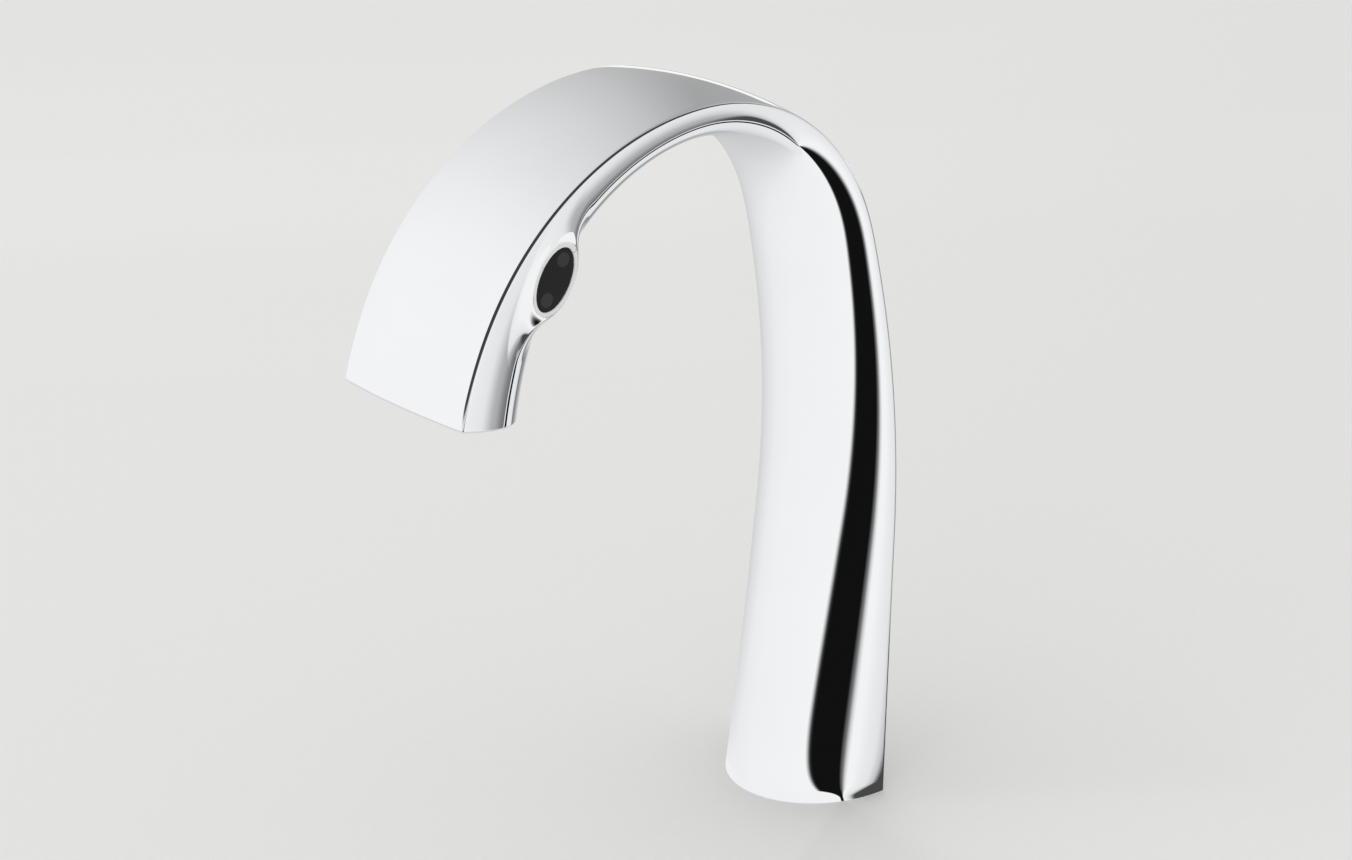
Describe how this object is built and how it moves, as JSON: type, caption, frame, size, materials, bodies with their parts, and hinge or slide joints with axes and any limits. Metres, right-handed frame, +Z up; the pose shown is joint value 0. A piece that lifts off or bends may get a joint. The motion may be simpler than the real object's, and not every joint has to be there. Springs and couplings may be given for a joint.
{
  "type": "sensor tap",
  "caption": "Deck-mounted touch-free basin tap: flat crowned spout arched over to a downward outlet, oval sensor eye on its side, threaded shank with clamp below.",
  "frame": {"origin": "on the deck plane, on the axis of the threaded shank, in the middle of the foot", "axes": "+Z up from the deck, the spout points to -Y, the sensor eye looks to +X"},
  "size_m": [0.0578, 0.1733, 0.3459],
  "materials": {
    "polished_chrome": "cast brass, polished and chrome plated to a mirror",
    "sensor_window_plastic": "dark infrared-passing plastic, moulded and polished",
    "black_moulding": "black moulded plastic, fine matt",
    "circuit_board": "green solder resist over glass laminate",
    "potting_resin": "cast epoxy resin",
    "lens_plastic": "smoke-tinted clear moulding",
    "foam": "closed-cell black foam",
    "seal_rubber": "moulded black rubber",
    "tube_plastic": "extruded white plastic tube",
    "lead_jacket": "extruded black lead jacket",
    "natural_plastic": "natural moulded acetal",
    "brass": "turned brass, lightly tarnished",
    "stainless": "turned stainless steel",
    "zinc_plated": "pressed steel, zinc plated",
    "grey_moulding": "grey moulded plastic"
  },
  "bodies": {
    "root": {"spout_body": "polished_chrome", "sensor_window": "sensor_window_plastic", "sensor_housing": "black_moulding", "sensor_seal": "seal_rubber", "sensor_board": "circuit_board", "sensor_potting": "potting_resin", "ir_emitter": "lens_plastic", "ir_receiver": "lens_plastic", "light_shield": "foam", "water_tube": "tube_plastic", "sensor_lead": "lead_jacket", "tube_clips": "natural_plastic", "outlet_socket": "brass", "tube_ring": "seal_rubber", "tube_collet": "natural_plastic", "base_plate": "brass", "deck_seal": "seal_rubber", "base_screws": "stainless", "locating_pin": "stainless", "mounting_shank": "brass", "shank_plug": "black_moulding", "lead_socket": "black_moulding", "inlet_nipple": "brass"},
    "clamp_washers": {"clamp_rubber": "seal_rubber", "clamp_washer": "zinc_plated"},
    "clamp_nut": {"mounting_nut": "brass"},
    "aerator_seat": {"aerator_seal": "seal_rubber"},
    "aerator": {"aerator_shell": "polished_chrome", "outlet_grid": "grey_moulding", "mixing_core": "grey_moulding", "flow_regulator": "natural_plastic", "inlet_screen": "stainless"}
  },
  "joints": [
    {"name": "washers_travel", "type": "slide", "parent": "root", "child": "clamp_washers", "axis": [0, 0, 1], "range_m": [-0.01601, 0.02351]},
    {"name": "nut_turn", "type": "hinge", "parent": "clamp_washers", "child": "clamp_nut", "pos_m": [0, 0, -0.0395], "axis": [0, 0, 1], "range_deg": [-3840, 5640]},
    {"name": "aerator_travel", "type": "slide", "parent": "root", "child": "aerator_seat", "axis": [0, -0.2419, -0.9703], "range_m": [0, 0.00761]},
    {"name": "aerator_turn", "type": "hinge", "parent": "aerator_seat", "child": "aerator", "pos_m": [0, -0.13373, 0.16123], "axis": [0, -0.2419, -0.9703], "range_deg": [0, 2736]}
  ],
  "couplings": [
    {"joint": "washers_travel", "follows": "nut_turn", "m_per_rad": 0.00023873},
    {"joint": "aerator_travel", "follows": "aerator_turn", "m_per_rad": 0.00015915}
  ]
}
